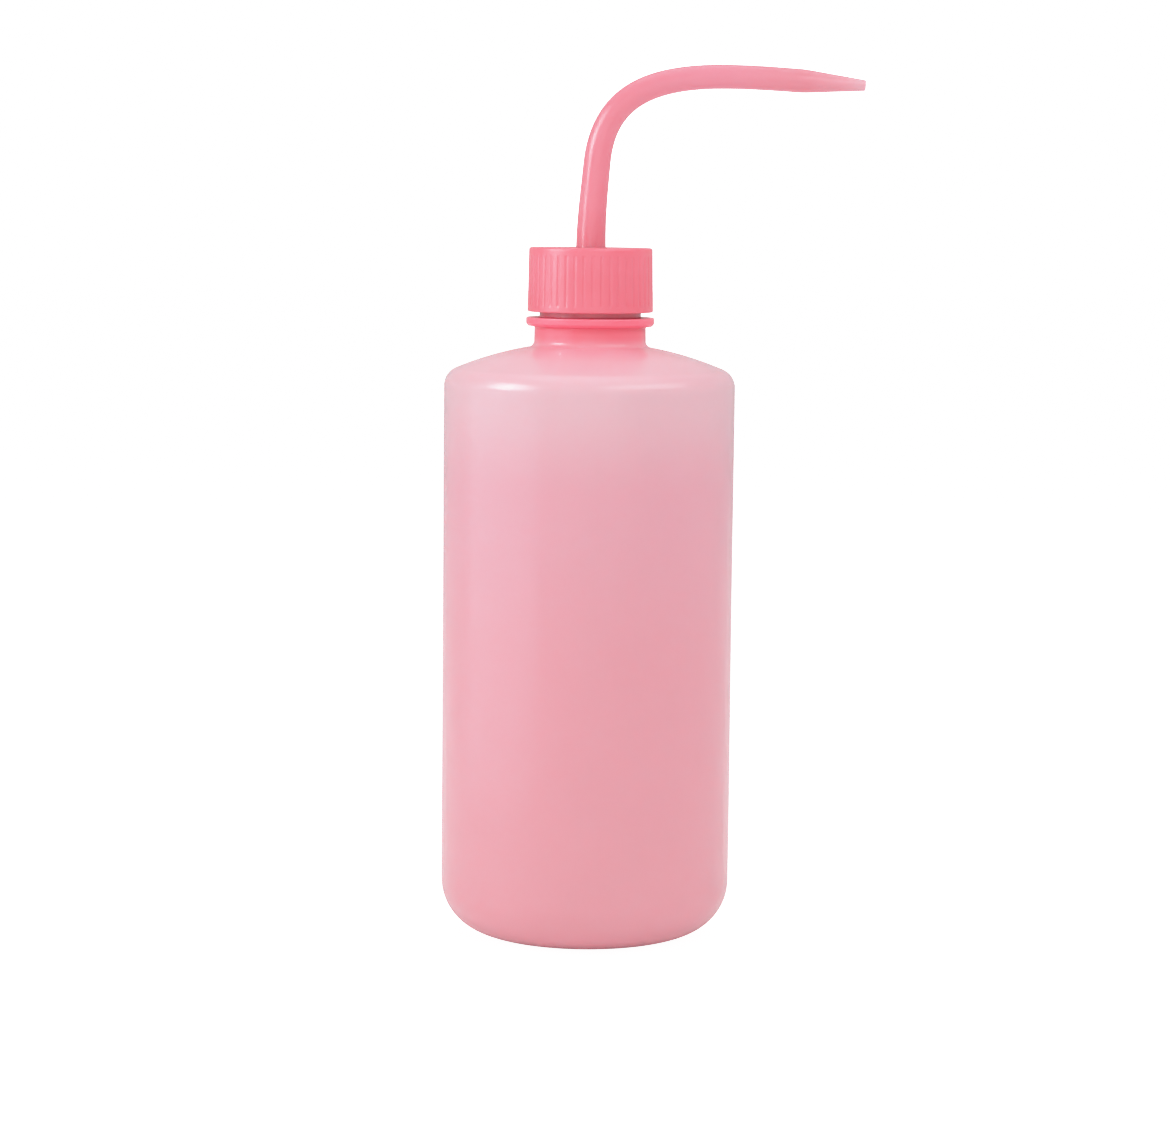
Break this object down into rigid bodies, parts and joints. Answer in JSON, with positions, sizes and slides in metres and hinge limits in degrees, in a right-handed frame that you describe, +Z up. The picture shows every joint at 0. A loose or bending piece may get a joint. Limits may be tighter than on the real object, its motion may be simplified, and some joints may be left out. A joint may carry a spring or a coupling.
{
  "type": "wash bottle",
  "caption": "Squeeze wash bottle: a round soft plastic bottle with a ribbed screw cap, a bent spout that swivels in the cap, and a dip tube inside.",
  "frame": {"origin": "on the bottle's axis, in the plane the bottle stands on", "axes": "+Z up along the bottle's axis, +X towards the spout's tip, -Y towards the viewer"},
  "size_m": [0.1045, 0.073, 0.2186],
  "materials": {
    "bottle_plastic": "translucent satin pink polyethylene",
    "cap_plastic": "semi-gloss moulded pink plastic, grooved grip",
    "gasket_foam": "soft white sealing washer",
    "spout_plastic": "satin pink polyethylene, paler at the thin tip",
    "tube_plastic": "milky translucent tube"
  },
  "bodies": {
    "bottle": {"bottle": "bottle_plastic"},
    "gasket": {"gasket": "gasket_foam"},
    "cap": {"screw_cap": "cap_plastic"},
    "spout": {"nozzle": "spout_plastic", "dip_tube": "tube_plastic"}
  },
  "joints": [
    {"name": "cap_lift", "type": "slide", "parent": "bottle", "child": "gasket", "axis": [0, 0, 1], "range_m": [0, 0.00635]},
    {"name": "cap_turn", "type": "hinge", "parent": "gasket", "child": "cap", "pos_m": [0, 0, 0.165], "axis": [0, 0, 1], "range_deg": [0, 541]},
    {"name": "nozzle_swivel", "type": "hinge", "parent": "cap", "child": "spout", "pos_m": [0, 0, 0.172], "axis": [0, 0, 1], "continuous": true}
  ],
  "couplings": [
    {"joint": "cap_turn", "follows": "cap_lift", "rad_per_m": 1484.3}
  ]
}
